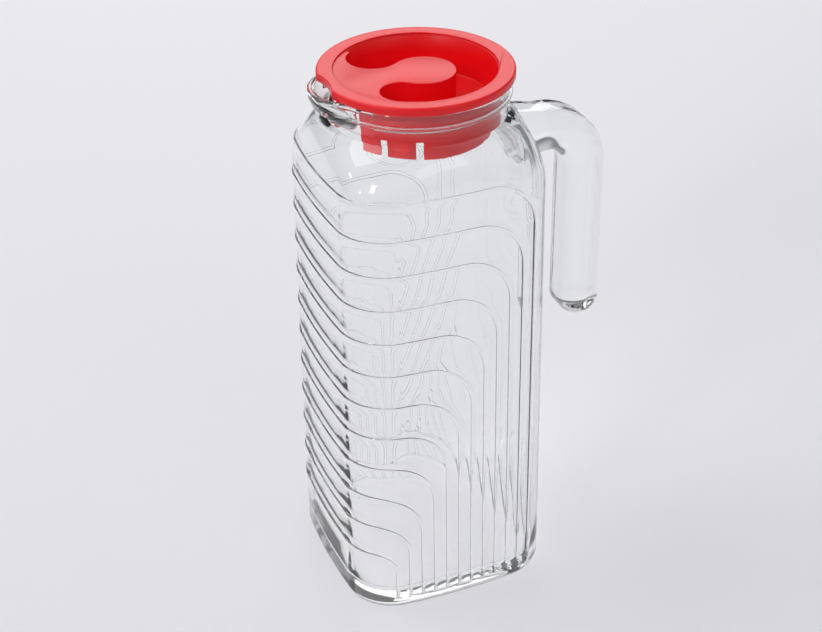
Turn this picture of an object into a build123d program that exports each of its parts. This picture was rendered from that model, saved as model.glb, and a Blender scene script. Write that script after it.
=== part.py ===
from build123d import *

import os
from math import atan2, cos, degrees, hypot, radians, sin, sqrt

# Square glass water jug for a fridge door, with a one-piece plastic pouring lid.
# Millimetres, +Z up. The origin is the centre of the foot, on the surface that the jug stands on.
# The handle is on the +X side and the pouring spout on the -X side.

# Glass body
foot_half_width = 53.9  # from the axis to a flat side, at the foot
shoulder_half_width = 52.5  # the same, where the shoulder begins
corner_radius = 24.0  # upright corners, seen from above
side_bow_radius = 330.0  # the flat sides bow outwards very slightly
wall = 4.0
foot_thickness = 9.0
foot_edge_radius = 6.0
floor_edge_bevel = 5.0
shoulder_height = 36.0  # from the top of the straight sides to the round neck
shoulder_rise = 30.0  # height of the round of the shoulder
shoulder_turn = 70.0  # degrees that the round turns through
shoulder_rings = 6
shoulder_inner_loss = 0.8  # the inside of the round is lower by this share of the wall

# Ribs on the outside: each runs level round the spout side, then bends down the front and the back
rib_count = 12
rib_lift = 10.3  # the first rib lies this far above the straight sides
rib_drop = 17.9  # from each rib down to the next
rib_upright = 38.9  # where the first rib runs down, from the axis towards the handle
rib_step = 6.6  # from each upright to the next, towards the spout
rib_bend_radius = 24.0
rib_bend_start = -45.0  # no rib begins to bend further out than this
rib_width = 1.6
rib_proud = 0.6
rib_foot = 9.0  # the ribs end above the foot

# Neck and mouth
neck_height = 12.2  # from the shoulder to the rim
blend_share = 0.92  # how round the shoulder is where the soft run into the neck begins
blend_height = 4.6  # height of that soft run
near_neck_corner = 0.97  # corner radius that the shoulder tends to, as a share of the neck's radius
near_neck_bow = 1.05  # radius that its sides tend to, as a share of the neck's radius
neck_side_angle = 12.0  # half the angle of the neck's circle that a side of the body runs into
neck_radius = 41.2
bore_radius = 37.8
rim_height = 270.2  # the lid's flange rests on the rim
rim_radius = 44.0
rim_edge_bevel = 0.8
collar_height = 8.2  # depth of the thick ring round the mouth
collar_step = 1.6  # how far the ring's lower edge stands out from the neck
collar_bevel = 1.2  # height of the bevel under the ring
collar_band = 4.0  # upright part of the ring, below the rim

# Spout, pulled out of the ring
spout_reach = 51.5  # from the axis to the tip
spout_tip_radius = 9.0
spout_height = 17.0  # from the spout's root to the rim
spout_drop = 1.0  # the tip stands this far below the rim
spout_root_proud = 0.4  # the spout's lower end stands this far out of the neck
spout_wall = 2.8
spout_channel_height = 11.0  # depth of the channel inside the spout

# Handle, one with the neck and the shoulder
grip_centre = 85.5  # from the axis to the grip's centreline
grip_depth = 21.0  # along X
grip_width = 26.0  # along Y
grip_corner_radius = 9.0
grip_end_round = 0.98  # radius of the round free end, as a share of the corner radius
grip_length = 107.0  # from the arm's centreline to the grip's free end
arm_drop = 38.7  # from the rim to the arm's centreline
arm_bend_radius = 21.0
arm_root = 40.5  # where the arm leaves the neck, from the axis
root_length = 22.0  # the arm is wider over this length
root_spread = 8.0  # how much wider it is where it leaves the neck

# Lid
flange_radius = 45.0
flange_thickness = 3.8
flange_edge_bevel = 0.7
flange_inner_radius = 38.0  # inner edge of the flange's raised rim
deck_drop = 1.0  # the deck lies this far below the raised rim
deck_thickness = 2.0
skirt_clearance = 0.4  # between the skirt and the bore
skirt_wall = 1.8
skirt_depth = 26.2  # below the rim
well_depth = 18.0  # from the flange's top to the floor of the finger well
well_floor = 2.0
well_wall = 1.8
grip_head_x = 2.3  # centre of the round head of the lid's grip
grip_head_y = -3.5
grip_head_radius = 15.0
upper_lobe_angle = 127.0  # the finger well ends in two round lobes, at these angles from the handle
lower_lobe_angle = -126.3
window_angle = 55.4  # opening in the skirt, centred on the spout
notch_depth = 2.6  # the flange is cut back this far over the spout
notch_radius = 40.0
tab_angle = 122.3  # middle of each snap tab, from the handle
tab_width = 13.0  # between the two slots
slot_width = 3.3
slot_height = 9.8
nub_width = 8.6
nub_height = 3.4
nub_proud = 0.25  # stands out of the tab, short of the bore
seal_proud = 0.25
seal_height = 1.2
seal_depths = (9.7, 12.2)  # of each sealing ridge below the rim

neck_start = rim_height - neck_height
shoulder_start = neck_start - shoulder_height
rib_top = shoulder_start + rib_lift
arm_height = rim_height - arm_drop
grip_end_height = arm_height - grip_length
collar_foot = rim_height - collar_height
lid_top = rim_height + flange_thickness
deck_height = lid_top - deck_drop
floor_height = lid_top - well_depth
skirt_foot = rim_height - skirt_depth
skirt_radius = bore_radius - skirt_clearance
well_radius = skirt_radius - skirt_wall


def bowed_square(half_width, corner, bow):
    # the eight tangent arcs of a square with round corners and bowed sides: centre, radius, start and size
    side_centre = half_width - bow
    corner_centre = (side_centre + sqrt(2 * (bow - corner) ** 2 - side_centre**2)) / 2
    half_side = degrees(atan2(corner_centre, corner_centre - side_centre))
    arcs = []
    for turn in (0, 90, 180, 270):
        axis = radians(turn)
        arcs.append(((side_centre * cos(axis), side_centre * sin(axis)), bow, turn - half_side, 2 * half_side))
        diagonal = radians(turn + 45)
        reach = corner_centre * sqrt(2)
        centre = (reach * cos(diagonal), reach * sin(diagonal))
        arcs.append((centre, corner, turn + half_side, 90 - 2 * half_side))
    return arcs


def split_circle(radius, half_side):
    # a circle cut into the same eight arcs, so that a loft can join it to a bowed square
    arcs = []
    for turn in (0, 90, 180, 270):
        arcs.append(((0, 0), radius, turn - half_side, 2 * half_side))
        arcs.append(((0, 0), radius, turn + half_side, 90 - 2 * half_side))
    return arcs


def section_face(arcs, height):
    with BuildSketch(Plane.XY.offset(height)) as section:
        with BuildLine():
            for centre, radius, start, size in arcs:
                CenterArc(centre, radius, start, size)
        make_face()
    return section.sketch


def shoulder_arcs(share, inset, end_radius):
    # outline of the shoulder where it has gone a share of the way from the square body to the round neck
    if share == 1:
        return split_circle(end_radius, neck_side_angle)
    half_width = shoulder_half_width - inset
    corner = corner_radius - inset
    width = half_width + (end_radius - half_width) * share
    bend = corner + (end_radius * near_neck_corner - corner) * share
    bow = 1 / (1 / side_bow_radius + (1 / (end_radius * near_neck_bow) - 1 / side_bow_radius) * share)
    return bowed_square(width, bend, bow)


def shoulder(inset, end_radius):
    # from the straight body to the neck in straight-sided rings: a round turn, then a soft run into the neck
    rise = shoulder_rise - inset * shoulder_inner_loss
    faces = []
    for ring in range(shoulder_rings + 1):
        turn = radians(shoulder_turn * ring / shoulder_rings)
        arcs = shoulder_arcs(1 - cos(turn), inset, end_radius)
        faces.append(section_face(arcs, shoulder_start + rise * sin(turn)))
    faces.append(section_face(shoulder_arcs(blend_share, inset, end_radius), neck_start - blend_height))
    faces.append(section_face(shoulder_arcs(1, inset, end_radius), neck_start))
    with BuildPart() as part:
        loft(sections=faces, ruled=True)
    return part.part


def straight_body(inset, foot):
    # four sides that lean in a little towards the shoulder
    lean = degrees(atan2(foot_half_width - shoulder_half_width, shoulder_start))
    top_face = section_face(
        bowed_square(shoulder_half_width - inset, corner_radius - inset, side_bow_radius), shoulder_start
    )
    with BuildPart() as part:
        add(top_face)
        extrude(amount=shoulder_start - foot, dir=(0, 0, -1), taper=-lean)
    return part.part


def beak_face(reach, tip_radius, height):
    # a circle just inside the neck with a beak towards -X: big arc, two tangents and the tip's arc
    root_radius = neck_radius - (neck_radius - bore_radius) / 2
    tip_centre = reach - tip_radius
    lean = degrees(atan2(sqrt(tip_centre**2 - (root_radius - tip_radius) ** 2), root_radius - tip_radius))
    with BuildSketch(Plane.XY.offset(height)) as section:
        with BuildLine():
            big = CenterArc((0, 0), root_radius, lean - 180, 360 - 2 * lean)
            tip = CenterArc((-tip_centre, 0), tip_radius, 180 - lean, 2 * lean)
            Line(big @ 1, tip @ 0)
            Line(tip @ 1, big @ 0)
        make_face()
    return section.sketch


def beak(inset, bottom, top):
    foot = beak_face(neck_radius + spout_root_proud, spout_tip_radius - inset, bottom)
    head = beak_face(spout_reach - inset, spout_tip_radius - inset, top)
    with BuildPart() as part:
        loft(sections=[foot, head], ruled=True)
    return part.part


# Handle: arm and grip as one rounded bar, rounded off at its free end
arm_start = Plane((arm_root + root_length, 0, arm_height), x_dir=(0, 1, 0), z_dir=(1, 0, 0))
arm_foot = Plane((arm_root, 0, arm_height), x_dir=(0, 1, 0), z_dir=(1, 0, 0))
with BuildSketch(arm_start) as arm_section:
    RectangleRounded(grip_width, grip_depth, grip_corner_radius)
with BuildSketch(arm_foot) as root_section:
    RectangleRounded(grip_width + root_spread, grip_depth + root_spread, grip_corner_radius + root_spread / 2)
with BuildPart() as handle:
    with BuildLine() as bar_path:
        FilletPolyline(
            (arm_root + root_length, 0, arm_height),
            (grip_centre, 0, arm_height),
            (grip_centre, 0, grip_end_height),
            radius=arm_bend_radius,
        )
    add(arm_section.sketch)
    sweep()
    fillet(handle.faces().sort_by(Axis.Z)[0].edges(), radius=grip_corner_radius * grip_end_round)
    loft(sections=[root_section.sketch, arm_section.sketch])

# Mouth: neck and thick ring
with BuildPart() as mouth:
    with BuildSketch(Plane.XZ):
        with BuildLine():
            Polyline(
                (0, neck_start),
                (neck_radius, neck_start),
                (neck_radius, collar_foot),
                (neck_radius + collar_step, collar_foot + collar_bevel),
                (rim_radius, rim_height - collar_band),
                (rim_radius, rim_height),
                (0, rim_height),
                (0, neck_start),
            )
        make_face()
    revolve(axis=Axis.Z)
    chamfer(mouth.faces().sort_by(Axis.Z)[-1].edges(), length=rim_edge_bevel)

with BuildPart() as outer_body:
    add(straight_body(0, 0))
    fillet(outer_body.faces().sort_by(Axis.Z)[0].edges(), radius=foot_edge_radius)
with BuildPart() as inner_body:
    add(straight_body(wall, foot_thickness))
    chamfer(inner_body.faces().sort_by(Axis.Z)[0].edges(), length=floor_edge_bevel)
with BuildPart() as rib_form:
    add(straight_body(-rib_proud, rib_foot))
    add(shoulder(-rib_proud, neck_radius + rib_proud))
outer_shoulder = shoulder(0, neck_radius)
outer_beak = beak(0, rim_height - spout_height, rim_height - spout_drop)
inner_shoulder = shoulder(wall, bore_radius)
inner_beak = beak(spout_wall, rim_height - spout_channel_height, rim_height)

# Ribs: nested bands across the body from front to back, trimmed to a form a little larger than the body
with BuildPart() as ribs:
    with BuildSketch(Plane.XZ):
        for rib in range(rib_count):
            level = rib_top - rib * rib_drop
            upright = rib_upright - rib * rib_step
            bend = min(rib_bend_radius, upright - rib_bend_start)
            with BuildLine() as band_path:
                FilletPolyline(
                    (-foot_half_width - corner_radius, level),
                    (upright, level),
                    (upright, rib_foot),
                    radius=bend,
                )
            trace(line_width=rib_width)
    extrude(amount=foot_half_width + wall, both=True)
    add(rib_form.part, mode=Mode.INTERSECT)

# Jug: pressed glass, all one piece with its spout and its handle
with BuildPart() as glass_jug:
    add(outer_body.part)
    add(outer_shoulder)
    add(ribs.part)
    add(mouth.part)
    add(outer_beak)
    add(handle.part)
    add(inner_body.part, mode=Mode.SUBTRACT)
    add(inner_shoulder, mode=Mode.SUBTRACT)
    with BuildSketch(Plane.XY.offset(neck_start)):
        Circle(bore_radius)
    extrude(amount=rim_height - neck_start, mode=Mode.SUBTRACT)
    add(inner_beak, mode=Mode.SUBTRACT)
glass_jug.part.label = "glass_jug"


def lobe(angle):
    # centre and radius of the round end of the finger well that touches the well's wall from inside,
    # at an angle from the handle, and the head of the grip from outside
    off = hypot(grip_head_x, grip_head_y)
    lean = off * cos(radians(angle) - atan2(grip_head_y, grip_head_x))
    room = well_radius**2 + off**2 - 2 * well_radius * lean - grip_head_radius**2
    radius = room / 2 / (well_radius + grip_head_radius - lean)
    reach = well_radius - radius
    return (reach * cos(radians(angle)), reach * sin(radians(angle))), radius


def bearing(start, end):
    return degrees(atan2(end[1] - start[1], end[0] - start[0]))


def well_face(height, grow):
    # finger well round the grip, four tangent arcs: wall, upper lobe, head of the grip and lower lobe
    head = (grip_head_x, grip_head_y)
    upper, upper_radius = lobe(upper_lobe_angle)
    lower, lower_radius = lobe(lower_lobe_angle)
    to_upper = bearing(head, upper)
    to_lower = bearing(head, lower)
    with BuildSketch(Plane.XY.offset(height)) as section:
        with BuildLine():
            CenterArc((0, 0), well_radius + grow, lower_lobe_angle, upper_lobe_angle - lower_lobe_angle)
            CenterArc(upper, upper_radius + grow, upper_lobe_angle, (to_upper + 180 - upper_lobe_angle) % 360)
            CenterArc(head, grip_head_radius - grow, to_upper, -((to_upper - to_lower) % 360))
            CenterArc(lower, lower_radius + grow, to_lower + 180, (lower_lobe_angle - to_lower - 180) % 360)
        make_face()
    return section.sketch


well_opening = well_face(floor_height, 0)
well_shell = well_face(floor_height - well_floor, well_wall)

# Lid: one moulding of flange, finger well round a curled grip, and a skirt with a window for pouring
with BuildPart() as lid:
    with BuildSketch(Plane.XZ):
        with BuildLine():
            ridges = []
            for depth in sorted(seal_depths, reverse=True):
                ridges.append((skirt_radius, rim_height - depth - seal_height / 2))
                ridges.append((skirt_radius + seal_proud, rim_height - depth))
                ridges.append((skirt_radius, rim_height - depth + seal_height / 2))
            Polyline(
                (0, skirt_foot),
                (skirt_radius, skirt_foot),
                *ridges,
                (skirt_radius, rim_height),
                (flange_radius, rim_height),
                (flange_radius, lid_top - flange_edge_bevel),
                (flange_radius - flange_edge_bevel, lid_top),
                (flange_inner_radius, lid_top),
                (flange_inner_radius, deck_height),
                (0, deck_height),
                close=True,
            )
        make_face()
    revolve(axis=Axis.Z)
    # finger well
    add(well_opening)
    extrude(amount=well_depth, mode=Mode.SUBTRACT)
    # hollow under the floor of the well and under the deck
    with BuildSketch(Plane.XY.offset(skirt_foot)):
        Circle(well_radius)
    extrude(amount=floor_height - well_floor - skirt_foot, mode=Mode.SUBTRACT)
    with BuildSketch(Plane.XY.offset(floor_height - well_floor)):
        Circle(well_radius)
        add(well_shell, mode=Mode.SUBTRACT)
    extrude(amount=deck_height - deck_thickness - floor_height + well_floor, mode=Mode.SUBTRACT)
    # window in the skirt, that lets the water out to the spout
    with BuildSketch(Plane.XY.offset(skirt_foot)):
        with BuildLine():
            CenterArc((0, 0), flange_radius, 180 - window_angle / 2, window_angle)
            Line((0, 0), (PolarLine((0, 0), flange_radius, 180 - window_angle / 2, mode=Mode.PRIVATE)) @ 1)
            Line((0, 0), (PolarLine((0, 0), flange_radius, 180 + window_angle / 2, mode=Mode.PRIVATE)) @ 1)
        make_face()
        Circle(well_radius - skirt_wall, mode=Mode.SUBTRACT)
    extrude(amount=skirt_depth, mode=Mode.SUBTRACT)
    # notch in the flange over the spout
    with BuildSketch(Plane.XY.offset(rim_height)):
        with Locations((notch_depth - flange_radius - notch_radius, 0)):
            Circle(notch_radius)
    extrude(amount=flange_thickness, mode=Mode.SUBTRACT)
    # snap tabs between slots, each with a nub low on its outside
    slot_turn = degrees((tab_width + slot_width) / 2 / skirt_radius)
    for tab in (tab_angle, -tab_angle):
        with BuildSketch(Plane.XY.offset(skirt_foot)):
            with PolarLocations(skirt_radius, 2, tab - slot_turn, 2 * slot_turn, endpoint=True):
                Rectangle(4 * skirt_wall, slot_width)
        extrude(amount=slot_height, mode=Mode.SUBTRACT)
        side = Plane.XZ.rotated((0, 0, tab - degrees(nub_width / 2 / skirt_radius)))
        with BuildSketch(side):
            with BuildLine():
                Polyline(
                    (skirt_radius - skirt_wall / 2, skirt_foot),
                    (skirt_radius, skirt_foot),
                    (skirt_radius + nub_proud, skirt_foot + nub_height / 2),
                    (skirt_radius, skirt_foot + nub_height),
                    (skirt_radius - skirt_wall / 2, skirt_foot + nub_height),
                    close=True,
                )
            make_face()
        revolve(axis=Axis.Z, revolution_arc=degrees(nub_width / skirt_radius))
lid.part.label = "lid"

os.makedirs("parts", exist_ok=True)
export_step(glass_jug.part, "parts/glass_jug.step")
export_step(lid.part, "parts/lid.step")
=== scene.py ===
import math

import bmesh
import bpy
from mathutils import Matrix, Vector


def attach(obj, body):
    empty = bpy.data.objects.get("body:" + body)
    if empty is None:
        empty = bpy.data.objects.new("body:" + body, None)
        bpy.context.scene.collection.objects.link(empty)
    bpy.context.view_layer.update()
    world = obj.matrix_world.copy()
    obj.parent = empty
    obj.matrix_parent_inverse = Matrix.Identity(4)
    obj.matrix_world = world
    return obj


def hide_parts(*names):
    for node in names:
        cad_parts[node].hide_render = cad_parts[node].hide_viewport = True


# Fridge water jug: clear pressed glass with nested ribs and a red moulded lid, on a pale studio floor
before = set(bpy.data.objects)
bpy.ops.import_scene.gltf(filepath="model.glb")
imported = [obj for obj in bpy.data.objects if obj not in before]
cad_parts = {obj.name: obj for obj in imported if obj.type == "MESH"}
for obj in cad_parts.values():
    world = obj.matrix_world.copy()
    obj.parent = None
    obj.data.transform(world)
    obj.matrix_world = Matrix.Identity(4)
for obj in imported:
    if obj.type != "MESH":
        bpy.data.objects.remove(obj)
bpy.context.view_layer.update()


scene = bpy.context.scene
scene.view_settings.view_transform = "Standard"
print("frame loaded")


class Socket:
    # wraps a node's output, so that shader maths reads as Python
    def __init__(self, graph, link):
        self.graph = graph
        self.link = link

    def maths(self, operation, first, second):
        return self.graph.add("ShaderNodeMath", {"operation": operation}, {0: first, 1: second})

    def __add__(self, other):
        return self.maths("ADD", self, other)

    def __radd__(self, other):
        return self.maths("ADD", other, self)

    def __sub__(self, other):
        return self.maths("SUBTRACT", self, other)

    def __rsub__(self, other):
        return self.maths("SUBTRACT", other, self)

    def __mul__(self, other):
        return self.maths("MULTIPLY", self, other)

    def __rmul__(self, other):
        return self.maths("MULTIPLY", other, self)

    def __gt__(self, other):
        return self.maths("GREATER_THAN", self, other)


class Graph:
    # a material's node tree
    def __init__(self, name):
        self.material = bpy.data.materials.new(name)
        self.material.use_nodes = True
        self.tree = self.material.node_tree
        self.tree.nodes.clear()

    def add(self, kind, settings=None, values=None, output=0):
        node = self.tree.nodes.new(kind)
        for name, value in (settings or {}).items():
            if name == "stops":
                setStops(node.color_ramp, value)
            else:
                setattr(node, name, value)
        for name, value in (values or {}).items():
            if isinstance(value, Socket):
                self.tree.links.new(value.link, node.inputs[name])
            else:
                node.inputs[name].default_value = value
        return Socket(self, node.outputs[output])

    def noise(self, place, scale, detail):
        return self.add("ShaderNodeTexNoise", {}, {"Vector": place, "Scale": scale, "Detail": detail})

    def finish(self, shader):
        out = self.tree.nodes.new("ShaderNodeOutputMaterial")
        self.tree.links.new(shader.link, out.inputs["Surface"])
        return self.material


def setStops(ramp, stops):
    while len(ramp.elements) < len(stops):
        ramp.elements.new(0.5)
    for element, (place, colour) in zip(ramp.elements, stops):
        element.position = place
        element.color = colour


def giveMaterial(piece, material):
    piece.data.materials.clear()
    piece.data.materials.append(material)


def addObject(name, data):
    thing = bpy.data.objects.new(name, data)
    scene.collection.objects.link(thing)
    return thing


# Clear glass: faint grey-green in the thick parts, a slight pressed ripple, and a light shadow
glassLook = {
    "tint": (0.978, 0.985, 0.982, 1),
    "ior": 1.5,
    "rippleScale": 45.0,
    "rippleDetail": 1.0,
    "rippleHeight": 0.00025,
    "rippleStrength": 0.25,
    "smudgeScale": 18.0,
    "smudgeDetail": 4.0,
    "smudgeFrom": 0.5,
    "smudgeTo": 0.75,
    "roughLow": 0.0,
    "roughHigh": 0.03,
    "shadowLight": 0.88,
    "clearDepth": 5.0,  # past this many bounces a share of the light goes straight through
    "clearShare": 0.38,
}


def makeGlass(look):
    g = Graph("clearGlass")
    place = g.add("ShaderNodeTexCoord", output="Object")
    ripple = g.noise(place, look["rippleScale"], look["rippleDetail"])
    bump = g.add(
        "ShaderNodeBump",
        {},
        {"Height": ripple, "Strength": look["rippleStrength"], "Distance": look["rippleHeight"]},
    )
    smudge = g.noise(place, look["smudgeScale"], look["smudgeDetail"])
    rough = g.add(
        "ShaderNodeMapRange",
        {},
        {
            "Value": smudge,
            "From Min": look["smudgeFrom"],
            "From Max": look["smudgeTo"],
            "To Min": look["roughLow"],
            "To Max": look["roughHigh"],
        },
    )
    glass = g.add(
        "ShaderNodeBsdfPrincipled",
        {},
        {
            "Base Color": look["tint"],
            "Roughness": rough,
            "IOR": look["ior"],
            "Transmission Weight": 1.0,
            "Normal": bump,
        },
    )
    clear = g.add("ShaderNodeBsdfTransparent")
    shadowRay = g.add("ShaderNodeLightPath", output="Is Shadow Ray")
    deepRay = g.add("ShaderNodeLightPath", output="Ray Depth") > look["clearDepth"]
    passing = shadowRay * look["shadowLight"] + (1 - shadowRay) * deepRay * look["clearShare"]
    return g.finish(g.add("ShaderNodeMixShader", {}, {0: passing, 1: glass, 2: clear}))


# Red plastic: satin, with a fine moulded grain and slight unevenness
redLook = {
    "red": (0.87, 0.001, 0.006, 1),
    "deepRed": (0.80, 0.001, 0.005, 1),
    "cloudScale": 30.0,
    "cloudDetail": 3.0,
    "cloudFrom": 0.35,
    "cloudTo": 0.65,
    "grainScale": 2600.0,
    "grainDetail": 2.0,
    "grainHeight": 0.00002,
    "grainStrength": 0.35,
    "roughness": 0.34,
    "roughSpread": 0.08,
    "ior": 1.45,
    "subsurface": 0.12,
    "subsurfaceRadius": (0.003, 0.0006, 0.0006),
}


def makeRed(look):
    g = Graph("redPlastic")
    place = g.add("ShaderNodeTexCoord", output="Object")
    cloud = g.noise(place, look["cloudScale"], look["cloudDetail"])
    stops = [(look["cloudFrom"], look["deepRed"]), (look["cloudTo"], look["red"])]
    colour = g.add("ShaderNodeValToRGB", {"stops": stops}, {"Fac": cloud})
    grain = g.noise(place, look["grainScale"], look["grainDetail"])
    bump = g.add(
        "ShaderNodeBump",
        {},
        {"Height": grain, "Strength": look["grainStrength"], "Distance": look["grainHeight"]},
    )
    rough = cloud * look["roughSpread"] + (look["roughness"] - look["roughSpread"] / 2)
    plastic = g.add(
        "ShaderNodeBsdfPrincipled",
        {},
        {
            "Base Color": colour,
            "Roughness": rough,
            "IOR": look["ior"],
            "Subsurface Weight": look["subsurface"],
            "Subsurface Radius": look["subsurfaceRadius"],
            "Subsurface Scale": 1.0,
            "Normal": bump,
        },
    )
    return g.finish(plastic)


glassMaterial = makeGlass(glassLook)
redMaterial = makeRed(redLook)
print("materials made")

weldGap = 1e-6  # points nearer than this are one point


def keepLargestPart(shape):
    # drops the slivers that a boolean can leave loose
    waiting = set(shape.faces)
    parts = []
    while waiting:
        part, front = set(), [next(iter(waiting))]
        while front:
            face = front.pop()
            if face in waiting:
                waiting.discard(face)
                part.add(face)
                front += [other for side in face.edges for other in side.link_faces if other in waiting]
        parts.append(part)
    parts.sort(key=len)
    loose = [face for part in parts[:-1] for face in part]
    bmesh.ops.delete(shape, geom=loose, context="FACES")


def softCopy(node, name, look, steps):
    # the node's mesh as one closed surface with its edges rounded
    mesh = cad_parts[node].data.copy()
    if "custom_normal" in mesh.attributes:
        mesh.attributes.remove(mesh.attributes["custom_normal"])
    shape = bmesh.new()
    shape.from_mesh(mesh)
    bmesh.ops.remove_doubles(shape, verts=shape.verts, dist=weldGap)
    shape.to_mesh(mesh)
    shape.free()
    draft = addObject(name + "Draft", mesh)
    for tool, operation in steps:
        change = draft.modifiers.new("change", "BOOLEAN")
        change.object = tool
        change.operation = operation
        change.solver = "EXACT"
    shape = bmesh.new()
    shape.from_object(draft, bpy.context.evaluated_depsgraph_get())
    draft.modifiers.clear()
    for tool, _ in steps:
        bpy.data.objects.remove(tool)
    bmesh.ops.remove_doubles(shape, verts=shape.verts, dist=look["mergeGap"])
    keepLargestPart(shape)
    bmesh.ops.dissolve_limit(
        shape, angle_limit=math.radians(look["flatAngle"]), verts=shape.verts, edges=shape.edges
    )
    bmesh.ops.triangulate(shape, faces=[f for f in shape.faces if len(f.verts) > 4])
    shape.to_mesh(mesh)
    shape.free()
    soft = draft.modifiers.new("soft", "BEVEL")
    soft.width = look["edgeRound"]
    soft.segments = look["edgeSteps"]
    soft.limit_method = "ANGLE"
    soft.angle_limit = math.radians(look["edgeAngle"])
    soft.use_clamp_overlap = False
    soft.miter_outer = "MITER_ARC"
    graph = bpy.context.evaluated_depsgraph_get()
    finished = bpy.data.meshes.new_from_object(draft.evaluated_get(graph))
    finished.name = name
    bpy.data.objects.remove(draft)
    for vertex in finished.vertices:
        vertex.co.z = min(max(vertex.co.z, look["bottom"]), look["top"])
    piece = addObject(name, finished)
    finished.shade_smooth()
    finished.set_sharp_from_angle(angle=math.radians(look["smoothAngle"]))
    print(name, len(finished.polygons), "faces")
    return piece


def turnOutwards(mesh, weld=False):
    # every face of a closed mesh points outwards
    shape = bmesh.new()
    shape.from_mesh(mesh)
    if weld:
        bmesh.ops.remove_doubles(shape, verts=shape.verts, dist=weldGap)
    bmesh.ops.recalc_face_normals(shape, faces=shape.faces)
    shape.to_mesh(mesh)
    shape.free()


def closedMesh(name, points, faces):
    mesh = bpy.data.meshes.new(name)
    mesh.from_pydata(points, [], faces)
    turnOutwards(mesh)
    return addObject(name, mesh)


# Spout: a wide round lip towards -X that runs down into the collar, with a channel inside it
spoutLook = {
    "lipCentre": 0.0305,
    "lipRadius": 0.021,
    "rootRadius": 0.0395,
    "innerRadius": 0.0386,
    "top": 0.26935,
    "lipDepth": 0.0030,
    "lipFootShare": 0.97,
    "taper": 0.8,
    "bottom": 0.2545,
    "wall": 0.0030,
    "channelFloor": 0.2590,
    "channelRise": 0.002,  # the cutter stands this far above the lip
    "channelStraight": 0.1,
    "channelTaper": 0.7,
    "channelRoot": 0.0372,
    "channelInner": 0.0365,
    "halfAngle": 40.0,
    "steps": 48,
    "levels": 12,
}


def lipReach(look, turn, inset=0.0):
    # distance from the axis to the lip's round outline, for an angle from the spout's middle
    side = look["lipCentre"] * math.sin(turn)
    room = (look["lipRadius"] - inset) ** 2 - side * side
    return look["lipCentre"] * math.cos(turn) + math.sqrt(room) if room > 0 else 0.0


def sectorSolid(name, look, levels, outer, inner):
    # rows of points over a sector about -X, between outer(turn, share) and a plain inner radius
    half = math.radians(look["halfAngle"])
    turns = [half * (2 * i / look["steps"] - 1) for i in range(look["steps"] + 1)]
    points = []
    for z, share in levels:
        for reaches in ([outer(t, share) for t in turns], [inner] * len(turns)):
            points += [(-r * math.cos(t), r * math.sin(t), z) for r, t in zip(reaches, turns)]
    row = len(turns)
    ring = 2 * row
    faces = []
    for level in range(len(levels) - 1):
        a = ring * level
        for b in (a, a + row):
            faces += [(b + i, b + i + 1, b + i + 1 + ring, b + i + ring) for i in range(row - 1)]
        for i in (0, row - 1):
            faces.append((a + i, a + row + i, a + row + i + ring, a + i + ring))
    for a in (0, ring * (len(levels) - 1)):
        faces += [(a + i, a + i + 1, a + row + i + 1, a + row + i) for i in range(row - 1)]
    return closedMesh(name, points, faces)


def makeSpout(look):
    lipFoot = look["top"] - look["lipDepth"]
    levels = [(look["top"], 1.0), (lipFoot, look["lipFootShare"])]
    for i in range(1, look["levels"] + 1):
        fall = i / look["levels"]
        share = look["lipFootShare"] * math.cos(fall * math.pi / 2) ** look["taper"]
        levels.append((lipFoot + (look["bottom"] - lipFoot) * fall, share))

    def outer(turn, share):
        reach = max(look["rootRadius"], lipReach(look, turn))
        return look["rootRadius"] + (reach - look["rootRadius"]) * share

    return sectorSolid("spoutBody", look, levels, outer, look["innerRadius"])


def makeChannel(look):
    top = look["top"] + look["channelRise"]
    depth = look["channelFloor"] - look["top"] - look["channelRise"]
    straight, root = look["channelStraight"], look["channelRoot"]
    levels = []
    for i in range(look["levels"] + 1):
        fall = i / look["levels"]
        curve = max(0.0, (fall - straight) / (1 - straight))
        levels.append((top + depth * fall, math.cos(curve * math.pi / 2) ** look["channelTaper"]))

    def outer(turn, share):
        reach = max(root, lipReach(look, turn, look["wall"]))
        return root + (reach - root) * share

    return sectorSolid("spoutChannel", look, levels, outer, look["channelInner"])


# Beads: the round edges of the rim and of the collar's foot, swept along their paths by Geometry Nodes
beadLook = {
    "pathSteps": 180,
    "profileSteps": 14,
    "blend": 0.0012,  # how softly the rim's circle turns into the lip's outline
    "rim": {"radius": 0.00130, "path": 0.0436, "height": 0.26882, "dip": 0.0003},
    "foot": {"radius": 0.00095, "path": 0.0435, "height": 0.26270},
}


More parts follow.
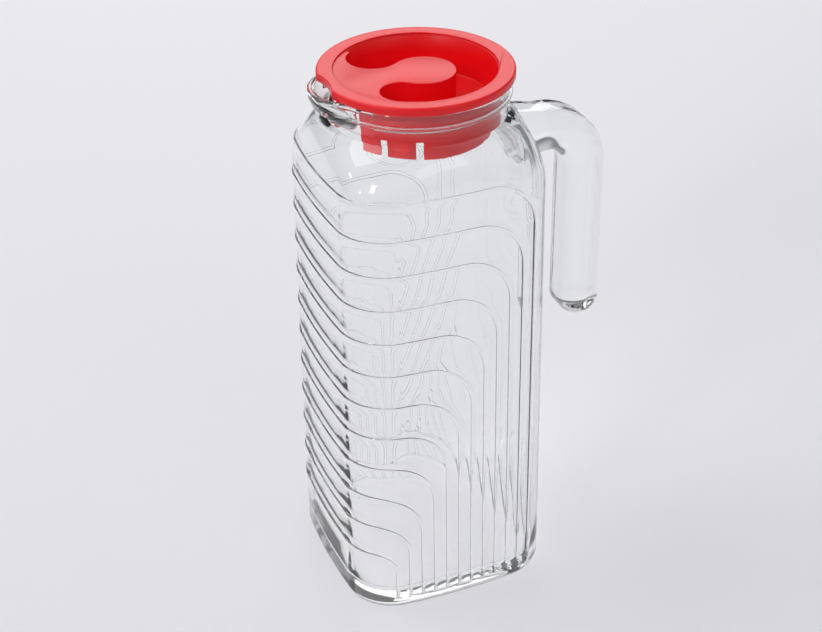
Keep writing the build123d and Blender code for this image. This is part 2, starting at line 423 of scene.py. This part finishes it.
def beadTree():
    tree = bpy.data.node_groups.new("roundBead", "GeometryNodeTree")
    face = tree.interface
    face.new_socket("Path", in_out="INPUT", socket_type="NodeSocketGeometry")
    face.new_socket("Bead Radius", in_out="INPUT", socket_type="NodeSocketFloat")
    face.new_socket("Profile Steps", in_out="INPUT", socket_type="NodeSocketInt")
    face.new_socket("Finish", in_out="INPUT", socket_type="NodeSocketMaterial")
    face.new_socket("Bead", in_out="OUTPUT", socket_type="NodeSocketGeometry")
    start = tree.nodes.new("NodeGroupInput")
    profile = tree.nodes.new("GeometryNodeCurvePrimitiveCircle")
    sweep = tree.nodes.new("GeometryNodeCurveToMesh")
    whole = tree.nodes.new("GeometryNodeRealizeInstances")
    finish = tree.nodes.new("GeometryNodeSetMaterial")
    end = tree.nodes.new("NodeGroupOutput")
    for out, into in [
        (start.outputs["Path"], sweep.inputs["Curve"]),
        (start.outputs["Bead Radius"], profile.inputs["Radius"]),
        (start.outputs["Profile Steps"], profile.inputs["Resolution"]),
        (profile.outputs["Curve"], sweep.inputs["Profile Curve"]),
        (sweep.outputs["Mesh"], whole.inputs["Geometry"]),
        (whole.outputs["Geometry"], finish.inputs["Geometry"]),
        (start.outputs["Finish"], finish.inputs["Material"]),
        (finish.outputs["Geometry"], end.inputs["Bead"]),
    ]:
        tree.links.new(out, into)
    return tree


def beadPath(look, size, spout=None):
    half = math.radians(spout["halfAngle"]) if spout else 0.0
    path = []
    for i in range(look["pathSteps"]):
        turn = 2 * math.pi * i / look["pathSteps"] - math.pi
        reach, dip = size["path"], 0.0
        if abs(turn) < half:
            lip = lipReach(spout, turn, size["radius"])
            blend = look["blend"]
            reach = (reach + lip + math.sqrt((reach - lip) ** 2 + blend * blend)) / 2
            dip = size["dip"] * (1 - abs(turn) / half)
        path.append((-reach * math.cos(turn), reach * math.sin(turn), size["height"] - dip))
    return path


def makeBead(name, tree, look, size, material, spout=None):
    path = beadPath(look, size, spout)
    curve = bpy.data.curves.new(name + "Path", "CURVE")
    curve.dimensions = "3D"
    spline = curve.splines.new("POLY")
    spline.points.add(len(path) - 1)
    for point, place in zip(spline.points, path):
        point.co = (*place, 1)
    spline.use_cyclic_u = True
    draft = addObject(name + "Path", curve)
    sweep = draft.modifiers.new("sweep", "NODES")
    sweep.node_group = tree
    values = {"Bead Radius": size["radius"], "Profile Steps": look["profileSteps"], "Finish": material}
    for item in tree.interface.items_tree:
        if item.name in values:
            sweep[item.identifier] = values[item.name]
    mesh = bpy.data.meshes.new_from_object(draft.evaluated_get(bpy.context.evaluated_depsgraph_get()))
    bpy.data.objects.remove(draft)
    turnOutwards(mesh, weld=True)
    return addObject(name, mesh)


beads = beadTree()
rimBead = makeBead("rimBead", beads, beadLook, beadLook["rim"], glassMaterial, spoutLook)
footBead = makeBead("footBead", beads, beadLook, beadLook["foot"], glassMaterial)
print("beads swept")

# Jug: spout and beads joined to the glass, the channel cut, and every pressed edge rounded
jugEdges = {
    "flatAngle": 0.4,
    "mergeGap": 2e-6,
    "edgeRound": 0.00022,
    "edgeSteps": 2,
    "edgeAngle": 32,
    "smoothAngle": 50,
    "top": 0.2702,
    "bottom": 0.0,
}
jugSteps = [
    (makeSpout(spoutLook), "UNION"),
    (footBead, "UNION"),
    (makeChannel(spoutLook), "DIFFERENCE"),
    (rimBead, "UNION"),
]
jug = softCopy("glass_jug", "jug", jugEdges, jugSteps)
giveMaterial(jug, glassMaterial)
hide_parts("glass_jug")
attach(jug, "jug")
print("jug made")

# Lid: the finger well flares out to the ring, and every moulded edge is soft
wellFlare = {
    "topRadius": 0.038,
    "topHeight": 0.274,
    "wallRadius": 0.0356,
    "wallHeight": 0.2655,
    "from": -126.3,
    "to": 127.0,
    "steps": 126,
    "overshoot": 0.0008,
}


def makeFlareCutter(look):
    # a wedge of cone swept between two angles, for cutting the flare
    slope = (look["topRadius"] - look["wallRadius"]) / (look["topHeight"] - look["wallHeight"])
    low = look["wallHeight"] - look["overshoot"]
    high = look["topHeight"] + look["overshoot"]
    inner = look["wallRadius"] + slope * (low - look["wallHeight"])
    outer = look["wallRadius"] + slope * (high - look["wallHeight"])
    section = [(inner, low), (outer, high), (inner, high)]
    points = []
    for step in range(look["steps"] + 1):
        turn = math.radians(look["from"] + (look["to"] - look["from"]) * step / look["steps"])
        points += [(r * math.cos(turn), r * math.sin(turn), z) for r, z in section]
    corners = len(section)
    last = corners * look["steps"]
    faces = [(0, 1, 2), (last + 2, last + 1, last)]
    for step in range(look["steps"]):
        a = corners * step
        for i in range(corners):
            j = (i + 1) % corners
            faces.append((a + i, a + corners + i, a + corners + j, a + j))
    return closedMesh("flareCutter", points, faces)


# Snap tabs: a low ledge with slanted ends on each tab's foot
nubLook = {
    "turns": (122.3, -122.3),
    "inner": 0.0364,
    "radius": 0.0371,
    "proud": 0.0006,
    "top": 0.2493,
    "foot": 0.2458,
    "edge": 0.0006,
    "half": 6.6,
    "slant": 1.5,
    "edgeSlant": 0.3,
    "steps": 4,
}


def makeNub(look, turn):
    narrow = look["half"] - look["slant"]
    levels = [
        (look["top"], look["half"], 0.0),
        (look["top"] - look["edge"], look["half"] - look["edgeSlant"], 1.0),
        (look["foot"] + look["edge"], narrow, 1.0),
        (look["foot"], narrow - look["edgeSlant"], 0.0),
    ]
    points = []
    for z, half, reach in levels:
        for side in range(-look["steps"], look["steps"] + 1):
            angle = math.radians(turn + half * side / look["steps"])
            for r in (look["radius"] + look["proud"] * reach, look["inner"]):
                points.append((r * math.cos(angle), r * math.sin(angle), z))
    row = 2 * (2 * look["steps"] + 1)
    faces = []
    for a in range(0, row * (len(levels) - 1), row):
        for b in range(a, a + row - 2, 2):
            faces.append((b, b + 2, b + row + 2, b + row))
            faces.append((b + 1, b + 3, b + row + 3, b + row + 1))
        for b in (a, a + row - 2):
            faces.append((b, b + 1, b + row + 1, b + row))
    for a in (0, row * (len(levels) - 1)):
        faces += [(b, b + 2, b + 3, b + 1) for b in range(a, a + row - 2, 2)]
    return closedMesh("nub", points, faces)


lidEdges = {
    "flatAngle": 0.4,
    "mergeGap": 2e-5,
    "edgeRound": 0.00035,
    "edgeSteps": 3,
    "edgeAngle": 28,
    "smoothAngle": 40,
    "top": 0.274,
    "bottom": 0.244,
}
lidSteps = [(makeFlareCutter(wellFlare), "DIFFERENCE")]
lidSteps += [(makeNub(nubLook, turn), "UNION") for turn in nubLook["turns"]]
lid = softCopy("lid", "pouringLid", lidEdges, lidSteps)
flangeGrowth = {"from": 0.041, "to": 0.0445, "low": 0.2698, "growth": 0.0007}


def growFlange(piece, look):
    # the ring reaches a little further out than the solid's
    for vertex in piece.data.vertices:
        radius = math.hypot(vertex.co.x, vertex.co.y)
        if vertex.co.z > look["low"] and radius > look["from"]:
            share = min(1.0, (radius - look["from"]) / (look["to"] - look["from"]))
            scale = 1 + look["growth"] * share / radius
            vertex.co.x *= scale
            vertex.co.y *= scale


growFlange(lid, flangeGrowth)
giveMaterial(lid, redMaterial)
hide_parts("lid")
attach(lid, "lid")
print("lid made")

# Studio: a pale floor painted darker at the front and lighter towards the back as painted light fall-off, a sky
# that is darker near the horizon, and soft lamps
studio = {
    "floorHalf": 4.0,
    "floorDrop": 0.0004,
    "floorNearPaintedShade": (0.745, 0.74, 0.775, 1),
    "floorFarPaintedLight": (0.90, 0.90, 0.915, 1),
    "floorRoughness": 0.6,
    "alongX": 0.6,
    "alongY": 0.8,
    "nearLine": -0.5,
    "farLine": 1.3,
    "skyTop": (0.95, 0.95, 0.97, 1),
    "skyLow": (0.30, 0.33, 0.35, 1),
    "skyLine": 0.1,
    "skyFull": 0.5,
    "skyStrength": 0.60,
}


def makeFloor(look):
    half = look["floorHalf"]
    mesh = bpy.data.meshes.new("floor")
    z = -look["floorDrop"]
    mesh.from_pydata([(-half, -half, z), (half, -half, z), (half, half, z), (-half, half, z)], [], [(0, 1, 2, 3)])
    floor = addObject("floor", mesh)
    g = Graph("paleFloor")
    place = g.add("ShaderNodeTexCoord", output="Object")
    x, y = (g.add("ShaderNodeSeparateXYZ", {}, {0: place}, axis) for axis in "XY")
    # painted light: the floor's colour runs from painted shade towards -X -Y to painted light towards +X +Y,
    # standing in for the fall-off of the lamps' light
    along = x * look["alongX"] + y * look["alongY"]
    far = g.add(
        "ShaderNodeMapRange", {}, {"Value": along, "From Min": look["nearLine"], "From Max": look["farLine"]}
    )
    colour = g.add(
        "ShaderNodeValToRGB", {"stops": [(0.0, look["floorNearPaintedShade"]), (1.0, look["floorFarPaintedLight"])]}, {"Fac": far}
    )
    matt = g.add("ShaderNodeBsdfPrincipled", {}, {"Base Color": colour, "Roughness": look["floorRoughness"]})
    giveMaterial(floor, g.finish(matt))


def makeSky(look):
    world = bpy.data.worlds.new("studioSky")
    scene.world = world
    world.use_nodes = True
    tree = world.node_tree
    tree.nodes.clear()
    place = tree.nodes.new("ShaderNodeTexCoord")
    split = tree.nodes.new("ShaderNodeSeparateXYZ")
    ramp = tree.nodes.new("ShaderNodeValToRGB")
    stops = [(0.0, look["skyLow"]), (look["skyLine"], look["skyLow"]), (look["skyFull"], look["skyTop"])]
    setStops(ramp.color_ramp, stops)
    background = tree.nodes.new("ShaderNodeBackground")
    background.inputs["Strength"].default_value = look["skyStrength"]
    out = tree.nodes.new("ShaderNodeOutputWorld")
    tree.links.new(place.outputs["Generated"], split.inputs[0])
    tree.links.new(split.outputs["Z"], ramp.inputs[0])
    tree.links.new(ramp.outputs[0], background.inputs["Color"])
    tree.links.new(background.outputs[0], out.inputs["Surface"])


# each lamp looks at a point on the jug's axis, at the height given as its aim
lampLook = {
    "keyLamp": {"place": (-1.64, -1.06, 1.35), "aim": 0.2, "size": (0.30, 0.42), "power": 8},
    "sideLamp": {"place": (-1.2, 0.8, 2.3), "aim": 0.12, "size": (1.4, 1.4), "power": 17},
    "backLamp": {"place": (0.85, 2.1, 1.5), "aim": 0.2, "size": (1.8, 1.0), "power": 13},
    "fillLamp": {"place": (0.6, -2.2, 1.6), "aim": 0.12, "size": (1.2, 1.0), "power": 5},
    "sparkA": {"place": (-1.70, 0.46, 1.0), "aim": 0.2, "size": (0.16, 0.10), "power": 0.6},
    "sparkB": {"place": (-1.80, -0.35, 0.85), "aim": 0.2, "size": (0.10, 0.10), "power": 0.4},
}


def addLamp(name, look):
    data = bpy.data.lights.new(name, "AREA")
    data.shape = "RECTANGLE"
    data.size, data.size_y = look["size"]
    data.energy = look["power"]
    lamp = addObject(name, data)
    lamp.location = look["place"]
    lamp.visible_transmission = False  # no double light under the glass
    aim = Vector((0, 0, look["aim"])) - Vector(look["place"])
    lamp.rotation_euler = aim.to_track_quat("-Z", "Y").to_euler()


makeFloor(studio)
makeSky(studio)
for lampName, lamp in lampLook.items():
    addLamp(lampName, lamp)
print("studio made")

# Camera of the photograph, from a fit to the lid, the sides and the foot
view = {
    "place": (-0.27051, -0.67157, 0.59818),
    "heading": 21.636,
    "downTilt": 32.371,
    "roll": -0.828,
    "lens": 75.615,
    "sensor": 36.0,
}


def makeCamera(look):
    heading = math.radians(look["heading"])
    tilt = math.radians(look["downTilt"])
    roll = math.radians(look["roll"])
    ahead = Vector(
        (math.cos(tilt) * math.sin(heading), math.cos(tilt) * math.cos(heading), -math.sin(tilt))
    )
    levelRight = Vector((math.cos(heading), -math.sin(heading), 0))
    levelUp = levelRight.cross(ahead)
    right = math.cos(roll) * levelRight + math.sin(roll) * levelUp
    up = math.cos(roll) * levelUp - math.sin(roll) * levelRight
    data = bpy.data.cameras.new("photoCamera")
    data.sensor_width = look["sensor"]
    data.lens = look["lens"]
    camera = addObject("photoCamera", data)
    turn = Matrix((right, up, -ahead)).transposed().to_4x4()
    camera.matrix_world = Matrix.Translation(look["place"]) @ turn
    scene.camera = camera


makeCamera(view)
print("camera made")
